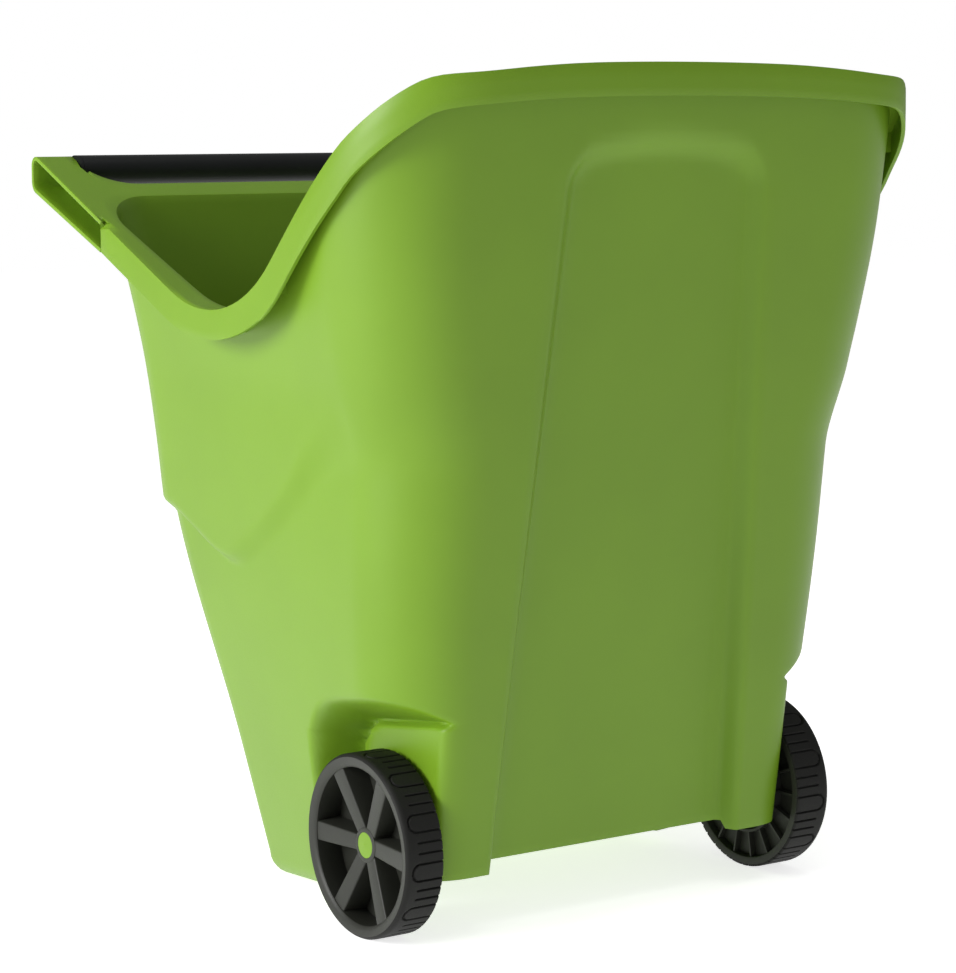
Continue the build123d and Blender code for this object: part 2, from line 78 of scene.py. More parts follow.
# %% A helper for plastic and metal finishes
def grained(name, colour, roughness, grain, depth, cloud=0.06, metal=0.0, shine=0.5):
    """A procedural finish: soft clouds in the colour, and a fine grain in the bump and gloss."""
    finish = bpy.data.materials.new(name)
    finish.use_nodes = True
    nodes = finish.node_tree.nodes
    links = finish.node_tree.links
    shader = nodes["Principled BSDF"]
    shader.inputs["Metallic"].default_value = metal
    shader.inputs["Specular IOR Level"].default_value = shine
    place = nodes.new("ShaderNodeTexCoord")

    clouds = nodes.new("ShaderNodeTexNoise")
    clouds.inputs["Scale"].default_value = 7.0
    clouds.inputs["Detail"].default_value = 3.0
    links.new(place.outputs["Object"], clouds.inputs["Vector"])
    tint = nodes.new("ShaderNodeValToRGB")
    tint.color_ramp.elements[0].position = 0.3
    tint.color_ramp.elements[1].position = 0.7
    tint.color_ramp.elements[0].color = (*[c * (1 - cloud) for c in colour], 1)
    tint.color_ramp.elements[1].color = (*[min(1.0, c * (1 + cloud)) for c in colour], 1)
    links.new(clouds.outputs["Fac"], tint.inputs["Fac"])
    links.new(tint.outputs["Color"], shader.inputs["Base Color"])

    fine = nodes.new("ShaderNodeTexNoise")
    fine.inputs["Scale"].default_value = grain
    fine.inputs["Detail"].default_value = 4.0
    links.new(place.outputs["Object"], fine.inputs["Vector"])
    dull = nodes.new("ShaderNodeMapRange")
    dull.inputs["To Min"].default_value = roughness - 0.06
    dull.inputs["To Max"].default_value = roughness + 0.08
    links.new(fine.outputs["Fac"], dull.inputs["Value"])
    links.new(dull.outputs["Result"], shader.inputs["Roughness"])
    bump = nodes.new("ShaderNodeBump")
    bump.inputs["Strength"].default_value = 0.5
    bump.inputs["Distance"].default_value = depth
    links.new(fine.outputs["Fac"], bump.inputs["Height"])
    links.new(bump.outputs["Normal"], shader.inputs["Normal"])
    return finish


# %% The finishes of this cart
TUB_GREEN = (0.134, 0.254, 0.010)
WHEEL_BLACK = (0.017, 0.018, 0.0135)
TREAD_BLACK = (0.009, 0.009, 0.008)
GRIP_BLACK = (0.006, 0.007, 0.007)
tub_plastic = grained("tub_plastic", TUB_GREEN, 0.42, 900.0, 0.00012, cloud=0.04, shine=0.32)
tub_shader = tub_plastic.node_tree.nodes["Principled BSDF"]
tub_shader.inputs["Subsurface Weight"].default_value = 0.08
tub_shader.inputs["Subsurface Radius"].default_value = (0.004, 0.008, 0.002)
wheel_plastic = grained("wheel_plastic", WHEEL_BLACK, 0.46, 1100.0, 0.00015, cloud=0.18, shine=0.35)
tread_plastic = grained("tread_plastic", TREAD_BLACK, 0.58, 700.0, 0.00025, cloud=0.2, shine=0.18)
grip_plastic = grained("grip_plastic", GRIP_BLACK, 0.42, 1300.0, 0.0001, cloud=0.2, shine=0.2)
steel = grained("steel", (0.55, 0.56, 0.58), 0.3, 400.0, 0.00005, cloud=0.08, metal=1.0)
print("finishes", [m.name for m in (tub_plastic, wheel_plastic, tread_plastic, grip_plastic, steel)])

# %% [markdown]
# ## Rules for curves
# Two helpers say every outline in this file. `through` is a smooth curve through a few heights
# and sizes, as a mould maker would fair a line through stations. `rounded` is a line of straight
# runs whose corners are arcs, which is how the rim looks from the side.


# %% Smooth tables, rounded lines and soft limits
def through(*points):
    """Smooth function through (place, size) pairs."""
    place, size = np.array(points, float).T
    slope = np.gradient(size, place)

    def at(value):
        value = np.clip(value, place[0], place[-1])
        i = np.clip(np.searchsorted(place, value) - 1, 0, len(place) - 2)
        step = place[i + 1] - place[i]
        t = (value - place[i]) / step
        start = (2 * t**3 - 3 * t**2 + 1) * size[i] + (t**3 - 2 * t**2 + t) * step * slope[i]
        end = (3 * t**2 - 2 * t**3) * size[i + 1] + (t**3 - t**2) * step * slope[i + 1]
        return start + end

    return at


def rounded(corners, radii, steps=20):
    """Points along straight runs whose inner corners are arcs of the given radii."""
    path = [np.array(corners[0], float)]
    for before, corner, after, radius in zip(corners, corners[1:], corners[2:], radii):
        corner = np.array(corner, float)
        back = np.array(before) - corner
        ahead = np.array(after) - corner
        back = back / np.linalg.norm(back)
        ahead = ahead / np.linalg.norm(ahead)
        half = math.acos(np.clip(back @ ahead, -1, 1)) / 2
        middle = (back + ahead) / np.linalg.norm(back + ahead)
        centre = corner + middle * radius / math.sin(half)
        start = corner + back * radius / math.tan(half) - centre
        end = corner + ahead * radius / math.tan(half) - centre
        sweep = math.pi - 2 * half
        for k in range(steps + 1):
            t = k / steps
            point = (math.sin((1 - t) * sweep) * start + math.sin(t * sweep) * end) / math.sin(sweep)
            path.append(centre + point)
    path.append(np.array(corners[-1], float))
    return np.array(path)


def soft_min(a, b, reach):
    """The smaller of two sizes, with the corner between them rounded over reach."""
    mix = np.clip(0.5 + 0.5 * (b - a) / reach, 0, 1)
    return b + (a - b) * mix - reach * mix * (1 - mix)


def ease(t):
    """0 to 1 with a soft start and end."""
    t = np.clip(t, 0, 1)
    return t * t * (3 - 2 * t)


# %% [markdown]
# ## The plan of the tub
# Seen from above the wall is a rounded four-sided figure: wide in front, narrower at the foot
# behind. There are two such walls in one. The lower one tapers to the foot, and the upper one
# stands about ten millimetres proud of it, above a line that runs level across the back and
# then sweeps in a wave along each side, up towards the front corner, where it fades.

# %% Sizes of the wall, in millimetres, by height
WALL = 3.4
HEIGHT = 720.0
LOWER = {
    "half_front": through((0, 221), (120, 229), (200, 233), (285, 237), (400, 238.5), (520, 241)),
    "half_rear": through((0, 168), (150, 198), (326, 234), (420, 246), (520, 256)),
    "rear": through(
        (0, 102), (72, 116), (136, 129), (194, 144), (283, 166), (326, 174.5), (520, 190)
    ),
}
UPPER = {
    "half_front": through(
        (250, 247), (400, 254), (454, 257), (498, 266), (573, 278.5), (640, 283), (730, 286)
    ),
    "half_rear": through((250, 231), (338, 241), (455, 255), (600, 278), (730, 286)),
    "rear": through(
        (250, 181), (342, 185.6), (397, 188), (451, 192.5), (505, 198), (595, 213), (730, 226)
    ),
}
round_front = through((0, 60), (326, 76), (455, 82), (600, 88), (730, 92))
round_rear = through((0, 40), (326, 50), (600, 58), (730, 60))


FRONT_FOOT, FRONT_LEAN = -197.6, 0.1145


def front_face(z):
    """Outer face of the front wall at height z."""
    return FRONT_FOOT - FRONT_LEAN * z


# %% How the columns of the sheet are shared out round one half of the plan
PANEL_IN, PANEL_RAMP, PANEL_OUT = 9, 6, 6
FRONT = PANEL_IN + PANEL_RAMP + PANEL_OUT
CORNER, SIDE, HAUNCH, BACK = 22, 54, 30, 20
side_share = np.concatenate(
    [np.linspace(0, 0.2, 7)[:-1], np.linspace(0.2, 0.46, 25)[:-1], np.linspace(0.46, 1, 25)]
)
COLUMNS = FRONT + CORNER + SIDE + HAUNCH + BACK + 1
print("columns in one half of the tub", COLUMNS)

# %% [markdown]
# ## The sunk panel in front
# The front wall carries a tall panel, pressed in by ten to twenty millimetres. Its ramp widens
# and its sides lean in towards an arched top. The columns of the sheet follow the two edges of
# the ramp, so the step stays clean from top to bottom.


# %% Edges of the panel and how deep it is
PANEL_FOOT, PANEL_TALL = 60, 585
OUTER_HALF, OUTER_TAPER = 133, 28  # half width at the foot, and how much is lost by the top
INNER_HALF, INNER_TAPER = 122, 37
PANEL_CROWN, CROWN_ARCH, CROWN_HALF = 664, 15, 105
CROWN_RAMP, PANEL_ROUND = 20.0, 1.6
SUNK_FOOT, SUNK_LEAN = -177.5, 0.1308


def panel_half(z, share):
    """Half width of the panel at height z, from its outer edge (0) to its floor (1)."""
    outer = OUTER_HALF - OUTER_TAPER * (z - PANEL_FOOT) / PANEL_TALL
    inner = INNER_HALF - INNER_TAPER * (z - PANEL_FOOT) / PANEL_TALL
    return outer + (inner - outer) * share


def panel_depth(x, z):
    """How far the front wall is pressed in at a point."""
    outer = panel_half(z, 0.0)
    ramp = outer - panel_half(z, 1.0)
    crown = PANEL_CROWN - CROWN_ARCH * (x / CROWN_HALF) ** 2
    from_side = np.clip((outer - np.abs(x)) / ramp, -1, 3)
    from_top = np.clip((crown - z) / CROWN_RAMP, -1, 3)
    short_side = np.clip(PANEL_ROUND - from_side, 0, 9)
    short_top = np.clip(PANEL_ROUND - from_top, 0, 9)
    inside = PANEL_ROUND - np.sqrt(short_side**2 + short_top**2)
    full = SUNK_FOOT - SUNK_LEAN * z - front_face(z)
    return full * ease(inside)


# %% [markdown]
# ## The wheel wells
# Each lower front corner is pushed in to make room for a wheel. The well has a sloping ceiling
# and back, as a moulding needs so that it leaves the tool, and inside it stands a flat boss that
# the axle comes out of, with a rounded shoulder behind. A well is said here as the greatest
# half width that the wall may have at each point of the side.

# %% Places of the well and the boss
BOSS_FACE, GROOVE_FACE = 184.0, 171.0
BOSS_BACK, BOSS_TOP, BOSS_ROUND = -90.0, 170.0, 26.0
WELL_BACK, WELL_TOP, WELL_ROUND = -75.0, 170.0, 38.0
WELL_SLOPE = 0.43
FRONT_LIFT, LIFT_FROM, LIFT_RUN = 15.0, -100, 100  # the ceiling rises towards the front corner
SHOULDER_DROP, SHOULDER_RUN = 18, 12  # the boss falls away over this width
WELL_REACH, WELL_FADE = 45, 30  # past this distance the well has no say
CREASE_ROUND, EDGE_ROUND = 9.0, 11.0
WELL_INSIDE = 150  # nearer the middle than this the wall is never cut


def outside_block(y, z, back, top, radius):
    """Distance of a point from a block that reaches forward and down from a rounded corner."""
    behind = y - (back - radius)
    above = z - (top - radius)
    out = np.hypot(np.maximum(behind, 0), np.maximum(above, 0))
    return out + np.minimum(np.maximum(behind, above), 0) - radius


def front_lift(y):
    """How much higher the ceiling of the well is at y than at its back."""
    return FRONT_LIFT * np.clip((LIFT_FROM - y) / LIFT_RUN, 0, 1)


def well_limit(y, z):
    """Half width that the wheel well leaves to the tub."""
    z = z - front_lift(y)
    from_boss = outside_block(y, z, BOSS_BACK, BOSS_TOP, BOSS_ROUND)
    from_well = outside_block(y, z, WELL_BACK, WELL_TOP, WELL_ROUND)
    slope = GROOVE_FACE + np.maximum(from_well, 0) / WELL_SLOPE
    boss = BOSS_FACE - SHOULDER_DROP * ease((from_boss + 4) / SHOULDER_RUN)
    slope = -soft_min(-slope, -boss, CREASE_ROUND)
    return slope + 400 * ease((from_well - WELL_REACH) / WELL_FADE)


# %% The wall at any height, column by column
wave_share = np.array([0, 0.1, 0.29, 0.5, 0.7, 0.85, 1.0])
wave_low = through(*zip(wave_share, (390, 383, 347, 310, 291, 306, 325)))
wave_high = through(*zip(wave_share, (462, 437, 376, 331, 303, 318, 338)))


def plan(z, sizes):
    """Points of one half of the wall's plan: heights z (rows, columns) to x and y."""
    half_front, half_rear = sizes["half_front"](z), sizes["half_rear"](z)
    front, rear = front_face(z), sizes["rear"](z)
    r_front, r_rear = round_front(z), round_rear(z)
    run = np.hypot(half_rear - half_front, rear - front)
    dx, dy = (half_rear - half_front) / run, (rear - front) / run
    turn_front = np.arccos(np.clip(-dx, -1, 1)) / 2
    turn_rear = np.arccos(np.clip(dx, -1, 1)) / 2
    cx = half_front - r_front / np.tan(turn_front)
    cy = front + r_front
    rx = half_rear - r_rear / np.tan(turn_rear)
    ry = rear - r_rear
    lean = np.arctan2(-dx, dy)
    x, y = np.zeros_like(z), np.zeros_like(z)

    # the front wall: the panel's floor, its ramp, and the flat up to the corner
    edge_out, edge_in = panel_half(z, 0.0), panel_half(z, 1.0)
    share = np.arange(PANEL_IN + 1) / PANEL_IN
    x[:, : PANEL_IN + 1] = edge_in[:, : PANEL_IN + 1] * share
    share = np.arange(1, PANEL_RAMP + 1) / PANEL_RAMP
    s = slice(PANEL_IN + 1, PANEL_IN + PANEL_RAMP + 1)
    x[:, s] = edge_in[:, s] + (edge_out[:, s] - edge_in[:, s]) * share
    share = np.arange(1, PANEL_OUT + 1) / PANEL_OUT
    s = slice(PANEL_IN + PANEL_RAMP + 1, FRONT + 1)
    x[:, s] = edge_out[:, s] + (cx[:, s] - edge_out[:, s]) * share
    y[:, : FRONT + 1] = front[:, : FRONT + 1]

    # the front corner
    s = slice(FRONT, FRONT + CORNER + 1)
    share = np.arange(CORNER + 1) / CORNER
    angle = -math.pi / 2 + share * (lean[:, s] + math.pi / 2)
    x[:, s] = cx[:, s] + r_front[:, s] * np.cos(angle)
    y[:, s] = cy[:, s] + r_front[:, s] * np.sin(angle)

    # the side, from the end of one arc to the start of the next
    first, last = FRONT + CORNER, FRONT + CORNER + SIDE
    s = slice(first, last + 1)
    ax = cx[:, s] + r_front[:, s] * np.cos(lean[:, s])
    ay = cy[:, s] + r_front[:, s] * np.sin(lean[:, s])
    bx = rx[:, s] + r_rear[:, s] * np.cos(lean[:, s])
    by = ry[:, s] + r_rear[:, s] * np.sin(lean[:, s])
    x[:, s] = ax + (bx - ax) * side_share
    y[:, s] = ay + (by - ay) * side_share

    # the rear corner and the back
    s = slice(last, last + HAUNCH + 1)
    share = np.arange(HAUNCH + 1) / HAUNCH
    angle = lean[:, s] + share * (math.pi / 2 - lean[:, s])
    x[:, s] = rx[:, s] + r_rear[:, s] * np.cos(angle)
    y[:, s] = ry[:, s] + r_rear[:, s] * np.sin(angle)

    s = slice(last + HAUNCH, COLUMNS)
    share = 1 - np.arange(BACK + 1) / BACK
    x[:, s] = rx[:, s] * share
    y[:, s] = rear[:, s]
    return x, y


def wall(z):
    """The finished outer face of the wall at heights z (rows, columns)."""
    low_x, low_y = plan(z, LOWER)
    high_x, high_y = plan(z, UPPER)
    share = np.ones(COLUMNS)
    share[: FRONT + CORNER] = 0.0
    share[FRONT + CORNER : FRONT + CORNER + SIDE + 1] = side_share
    proud = ease((z - wave_low(share)) / (wave_high(share) - wave_low(share)))
    x = low_x + (high_x - low_x) * proud
    y = low_y + (high_y - low_y) * proud
    y[:, : FRONT + 1] += panel_depth(x[:, : FRONT + 1], z[:, : FRONT + 1])
    limit = well_limit(y, z)
    x = np.where(x > WELL_INSIDE, soft_min(x, limit, EDGE_ROUND), x)
    return x, y


# %% [markdown]
# ## The rim
# From the side the rim climbs from a low point to the arms behind and, more steeply, to the
# crest in front, where it arches a little across the cart. It is a flat band about fifteen
# millimetres wide that turns down into a skirt. Because the sheet's points keep the wall's
# columns, wall, band and skirt are one piece without a seam.

# %% Heights of the rim
ARM_TOP, ARM_SLOPE = 643.0, 0.437
ARM_LOW, ARM_LOW_SLOPE = 609.0, 0.39
ARM_END, SKIRT_END = 300.0, 166.0
RIM_HALF, RIM_FRONT, RIM_REAR = 291.0, -300.0, 235.0
ARM_INNER, ARM_FILLET = 255.0, 38.0
SKIRT, REAR_LIP = 25.0, 12.0
STRAIGHT_HALF, STRAIGHT_FRONT = 171, -150  # the rim's outline is straight up to here
CORNER_POWER = 2.5
CREST_ARCH, CREST_ROUND = 20, 6.0
rim_side = rounded(
    [(400, ARM_TOP + 100 * ARM_SLOPE), (-52.9, 488.8), (-222, 658), (-400, 804)], [150, 150]
)[::-1]


def rim_height(x, y):
    """Top of the rim over a point of the plan."""
    side = np.interp(y, rim_side[:, 0], rim_side[:, 1])
    arch = HEIGHT - CREST_ARCH * (x / 300) ** 2
    return soft_min(side, arch, CREST_ROUND)


def arm_low(y):
    """Underside of the arm."""
    return ARM_LOW + ARM_LOW_SLOPE * (y - ARM_END)


def rim_reach(x, y):
    """1 on the rim's outline in plan, less inside it. Its front corners are fuller than arcs."""
    across = np.maximum(np.abs(x) - STRAIGHT_HALF, 0) / (RIM_HALF - STRAIGHT_HALF)
    along = np.maximum(STRAIGHT_FRONT - y, 0) / (STRAIGHT_FRONT - RIM_FRONT)
    return (across**CORNER_POWER + along**CORNER_POWER) ** (1 / CORNER_POWER)


def out_to_rim(x, y, nx, ny):
    """Where a line from a wall point, square to the wall, meets the inside of the skirt."""
    near, far = np.zeros_like(x), np.full_like(x, 60.0)
    for _ in range(40):  # halve the interval until it is far below a micrometre
        middle = (near + far) / 2
        inside = rim_reach(x + nx * middle, y + ny * middle) < 1
        near = np.where(inside, middle, near)
        far = np.where(inside, far, middle)
    return x + nx * (near - WALL), y + ny * (near - WALL)


# %% Rows of the sheet, from the foot to the rim
CURL = 18.0
WELL_LOW, WELL_HIGH, STEP_LOW, STEP_HIGH = 160, 200, 286, 345  # the dense bands of rows
low_rows = np.concatenate(
    [
        np.linspace(CURL, WELL_LOW, 13)[:-1],
        np.linspace(WELL_LOW, WELL_HIGH, 21)[:-1],
        np.linspace(WELL_HIGH, STEP_LOW, 10)[:-1],
        np.linspace(STEP_LOW, STEP_HIGH, 19),
    ]
)
HIGH_ROWS = 46
bend = np.ones(HIGH_ROWS)
bend[31:41] = 0.6  # rows stand closer at the top of the panel
high_share = np.cumsum(bend) / bend.sum()

# the foot is on the ground at the back, and ends higher where the wheels and the lip are
columns = np.arange(COLUMNS)
FEET_Z, LIP_Z = 53.0, 60.0
base_z = np.full((1, COLUMNS), LIP_Z)
base_y = wall(base_z)[1][0]
STAND_TO, FOOT_FROM, FOOT_RUN = -44, -55, 30
FLAT_TO, RISE_RUN, RISE = 72, 115, 15
stands = base_y > STAND_TO


def foot_rise(y):
    """The underside climbs a little from the back to the wheels."""
    return RISE * np.clip((FLAT_TO - y) / RISE_RUN, 0, 1)


foot = np.clip((FOOT_FROM - base_y) / FOOT_RUN, 0, 1) * (FEET_Z - CURL) + CURL
foot = np.where(columns <= PANEL_IN + 2, LIP_Z, foot)
start = np.where(stands, CURL + foot_rise(base_y), foot)

z = start + (low_rows[:, None] - CURL) * (WELL_LOW - start) / (WELL_LOW - CURL)
z = np.where(low_rows[:, None] > WELL_LOW, low_rows[:, None], z)
# the rows about the ceiling of the well rise with it towards the front
lifted = np.clip((low_rows - 110) / 50, 0, 1) * np.clip((STEP_LOW - low_rows) / 76, 0, 1)
z = z + lifted[:, None] * front_lift(base_y)
top = np.full((1, COLUMNS), 600.0)
for _ in range(30):
    top_x, top_y = wall(top)
    top = rim_height(top_x, top_y) - WALL
high = STEP_HIGH + (top - STEP_HIGH) * high_share[:, None]
z = np.concatenate([z, high])
x, y = wall(z)
print("wall rows", len(z), "rim from", round(float(top.min())), "to", round(float(top.max())), "mm")



# %% The foot curls in under the tub where it stands on the ground
def square_to(px, py):
    """Directions in plan that are square to a line of points and point out of the tub."""
    along_x, along_y = np.gradient(px), np.gradient(py)
    length = np.hypot(along_x, along_y)
    out_x, out_y = along_y / length, -along_x / length
    out_x[0], out_y[0], out_x[-1], out_y[-1] = 0, -1, 0, 1
    return out_x, out_y


plain_x, plain_y = plan(base_z, LOWER)
nx, ny = square_to(plain_x[0], plain_y[0])
UNDER_FOOT = 14
rise = foot_rise(base_y)
curl_rows = []
for angle in np.linspace(0, math.pi / 2, 7)[1:]:
    inward = CURL * (1 - math.cos(angle))
    down = CURL * (1 - math.sin(angle))
    curl_rows.append((x[0] - nx * inward, y[0] - ny * inward, rise + down))
last_x, last_y, _ = curl_rows[-1]
curl_rows.append((last_x - nx * UNDER_FOOT, last_y - ny * UNDER_FOOT, rise))
curl = np.array(curl_rows[::-1])

# %% The band of the rim, out to the skirt and the arms
nx, ny = square_to(x[-1], y[-1])
rim_x, rim_y = out_to_rim(x[-1], y[-1], nx, ny)
haunch = FRONT + CORNER + SIDE
inner_web = ARM_INNER + WALL
tip_y = ARM_END - 12
SKIRT_STEP = 0.4  # the arm's edge steps out this far behind the skirt's end
TO_TIP, ACROSS, WEB = 10, 5, 3  # faces along the arm, across it and along its inner web
arm = [(RIM_HALF - WALL, SKIRT_END), (RIM_HALF, SKIRT_END + SKIRT_STEP)]
arm += [(RIM_HALF, SKIRT_END + (tip_y - SKIRT_END) * k / TO_TIP) for k in range(1, TO_TIP + 1)]
arm += [(RIM_HALF + (inner_web - RIM_HALF) * k / ACROSS, tip_y) for k in range(1, ACROSS + 1)]
fillet_x, fillet_y = ARM_INNER - ARM_FILLET, RIM_REAR + ARM_FILLET
arm += [(inner_web, tip_y + (fillet_y - tip_y) * k / WEB) for k in range(1, WEB + 1)]
turn = HAUNCH - len(arm)
for k in range(1, turn + 1):
    angle = -math.pi / 2 * k / turn
    reach = ARM_FILLET + WALL
    arm.append((fillet_x + reach * math.cos(angle), fillet_y + reach * math.sin(angle)))
rim_x[haunch + 1 : haunch + HAUNCH + 1] = [p[0] for p in arm]
rim_y[haunch + 1 : haunch + HAUNCH + 1] = [p[1] for p in arm]
rim_x[haunch + HAUNCH :] = fillet_x * (1 - np.arange(BACK + 1) / BACK)
rim_y[haunch + HAUNCH :] = RIM_REAR - WALL
BAND = 6
band_rows = []
for k in range(1, BAND + 1):
    bx = x[-1] + (rim_x - x[-1]) * k / BAND
    by = y[-1] + (rim_y - y[-1]) * k / BAND
    band_rows.append((bx, by, rim_height(bx, by) - WALL))
band = np.array(band_rows)

# %% The skirt, and the web that closes the inner side of each arm
skirted = haunch + 1
tip_start = skirted + 1 + TO_TIP
tip_end = tip_start + ACROSS
web_end = tip_end + WEB
rim_z = band[-1][2]
step = np.maximum(np.hypot(np.gradient(rim_x), np.gradient(rim_y)), 1e-6)
slope = np.clip(np.gradient(rim_height(rim_x, rim_y)) / step, -1.2, 1.2)
drop = SKIRT * np.sqrt(1 + slope**2) - WALL
inner_side = slice(tip_end, web_end + 1)
drop[inner_side] = rim_z[inner_side] - (arm_low(rim_y[inner_side]) + WALL)
LIP_FADE = 0.7  # the web is down to the lip after this share of the turn
ramp = ease(np.arange(turn + 1) / (LIP_FADE * turn))
full = drop[web_end]
drop[web_end : web_end + turn + 1] = full + (REAR_LIP - WALL - full) * ramp
drop[haunch + HAUNCH :] = REAR_LIP - WALL
SKIRT_ROWS = 3
shares = [k / SKIRT_ROWS for k in range(1, SKIRT_ROWS + 1)]
skirt = np.array([(rim_x, rim_y, rim_z - drop * share) for share in shares])
print("skirt drops", round(float(drop[0])), "mm in front")

# %% [markdown]
# Now the rows are woven into one mesh. Half of it is enough: the other half is its mirror.
# Faces are left out where the foot ends early, and along the open side of each arm. The strip
# that runs round the arm's tip and back under it is welded to the band's edge there.


# %% Weave the sheet
def weave(mesh, rows, keep=None):
    """Add a grid of points (rows of x, y, z) to a bmesh, and its faces where keep allows."""
    points = [[mesh.verts.new(p) for p in np.array(row).T] for row in rows]
    for j, (row, above) in enumerate(zip(points, points[1:])):
        for i in range(len(row) - 1):
            if keep is None or keep(j, i):
                mesh.faces.new((row[i], row[i + 1], above[i + 1], above[i]))


rows = list(curl) + list(np.stack([x, y, z], axis=1)) + list(band) + list(skirt)
wall_start = len(curl)
skirt_start = wall_start + len(z) + BAND - 1


def has_face(j, i):
    """Whether the sheet has a face above row j, right of column i."""
    if j < wall_start:
        return bool(stands[i] and stands[i + 1])
    if j >= skirt_start:
        return i < skirted or i >= tip_end
    return True


half = bmesh.new()
weave(half, rows, has_face)

# the strip round the arm's tip and back along its underside
tip = rounded(
    [
        (tip_y, ARM_TOP + ARM_SLOPE * (tip_y - ARM_END) - WALL),
        (ARM_END - WALL, ARM_TOP - ARM_SLOPE * WALL - WALL),
        (ARM_END - WALL, arm_low(ARM_END - WALL) + WALL),
        (tip_y - 1, arm_low(tip_y - 1) + WALL),
    ],
    [5, 8],
    steps=6,
)
under_y = [*rim_y[inner_side], *np.linspace(fillet_y, SKIRT_END + SKIRT_STEP, 12)[1:]]
under = [(py, arm_low(py) + WALL) for py in under_y]
around = [p for p in tip[:-1] if p[0] >= tip_y] + under
beside = slice(FRONT, haunch + HAUNCH + 1)
strip_rows = []
for py, pz in around:
    # the strip ends inside the wall of the tub, and doesn't come out on the other side of it
    ring_x, ring_y = wall(np.full((1, COLUMNS), pz))
    wall_x = np.interp(py, ring_y[0][beside], ring_x[0][beside], right=0.0)
    strip_x = np.linspace(RIM_HALF, max(inner_web, wall_x - 1.0), ACROSS + 1)
    strip_rows.append((strip_x, np.full_like(strip_x, py), np.full_like(strip_x, pz)))
weave(half, strip_rows)
cheek = [p for p in around if p[0] >= tip_y - 1e-6]
half.faces.new([half.verts.new((inner_web, py, pz)) for py, pz in cheek])
bmesh.ops.remove_doubles(half, verts=half.verts, dist=0.2)
loose = [v for v in half.verts if not v.link_faces]
bmesh.ops.delete(half, geom=loose, context="VERTS")
bmesh.ops.recalc_face_normals(half, faces=half.faces)
half.faces.ensure_lookup_table()
middles = [(f.calc_center_median(), f.normal.y) for f in half.faces]
if sum(facing for middle, facing in middles if middle.y < -250 and abs(middle.x) < 100) > 0:
    bmesh.ops.reverse_faces(half, faces=half.faces)
print("half sheet", len(half.faces), "faces")

# %% [markdown]
# ## From the sheet to the tub
# The sheet is the outer face of the wall and the hidden side of the rim, so the thickness is
# added on the other side, towards the load. Then every edge sharper than a moulding would leave
# is given a small radius, which is what catches the light along the rim.


# %% Mesh helpers
def to_object(mesh, name, finish, smooth=True, scale=MM):
    """A bmesh in millimetres becomes an object in metres, with its place in its points."""
    data = bpy.data.meshes.new(name)
    mesh.to_mesh(data)
    mesh.free()
    points = np.zeros(len(data.vertices) * 3, np.float32)
    data.vertices.foreach_get("co", points)
    data.vertices.foreach_set("co", points * scale)
    data.update()
    piece = bpy.data.objects.new(name, data)
    bpy.context.scene.collection.objects.link(piece)
    data.materials.append(finish)
    if smooth:
        data.shade_smooth()
    return piece


def baked(piece):
    """Turn the piece with its modifiers into a plain mesh."""
    depsgraph = bpy.context.evaluated_depsgraph_get()
    data = bpy.data.meshes.new_from_object(piece.evaluated_get(depsgraph))
    piece.modifiers.clear()
    piece.data = data
    return piece


def mirrored(mesh):
    """Add the mirror image of a half to itself, welded in the middle."""
    copy = bmesh.ops.duplicate(mesh, geom=mesh.verts[:] + mesh.edges[:] + mesh.faces[:])["geom"]
    for vert in [g for g in copy if isinstance(g, bmesh.types.BMVert)]:
        vert.co.x = -vert.co.x
    flipped = [g for g in copy if isinstance(g, bmesh.types.BMFace)]
    bmesh.ops.reverse_faces(mesh, faces=flipped)
    bmesh.ops.remove_doubles(mesh, verts=[v for v in mesh.verts if abs(v.co.x) < 0.01], dist=0.02)


FURTHEST = 1.75  # of the thickness
CREASE_ANGLE = 42


def solid(piece, thickness, offset, width=0.0):
    """Give a sheet its thickness, and its sharp edges a radius, and keep it in the part's box."""
    sheet_points = [v.co.copy() for v in piece.data.vertices]
    shell = piece.modifiers.new("thickness", "SOLIDIFY")
    shell.thickness = thickness * MM
    shell.offset = offset
    shell.use_even_offset = True
    baked(piece)
    # where three faces meet the even wall can shoot away, so no point goes far from its sheet
    furthest = FURTHEST * thickness * MM
    if offset:
        for number, point in enumerate(sheet_points):
            vert = piece.data.vertices[number + len(sheet_points)]
            away = vert.co - point
            if away.length > furthest:
                vert.co = point + away.normalized() * furthest
    if width:
        soften = piece.modifiers.new("edge", "BEVEL")
        soften.width = width * MM
        soften.segments = 2
        soften.limit_method = "ANGLE"
        soften.angle_limit = math.radians(CREASE_ANGLE)
        baked(piece)
    low, high = cad_box
    for vert in piece.data.vertices:
        vert.co = [min(max(c, a), b) for c, a, b in zip(vert.co, low, high)]
    return piece


# %% The shell
mirrored(half)
half.normal_update()
shell = to_object(half, "tub_shell", tub_plastic)
EDGE_RADIUS = 1.0
shell = solid(shell, WALL, -1.0, EDGE_RADIUS)
print("tub shell", len(shell.data.polygons), "faces")
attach(shell, "cart")
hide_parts("tub")

# %% [markdown]
# ## The floor
# The floor is flat behind and steps up in front to clear the axle. It is a sheet of its own
# that runs into the middle of the wall on every side.

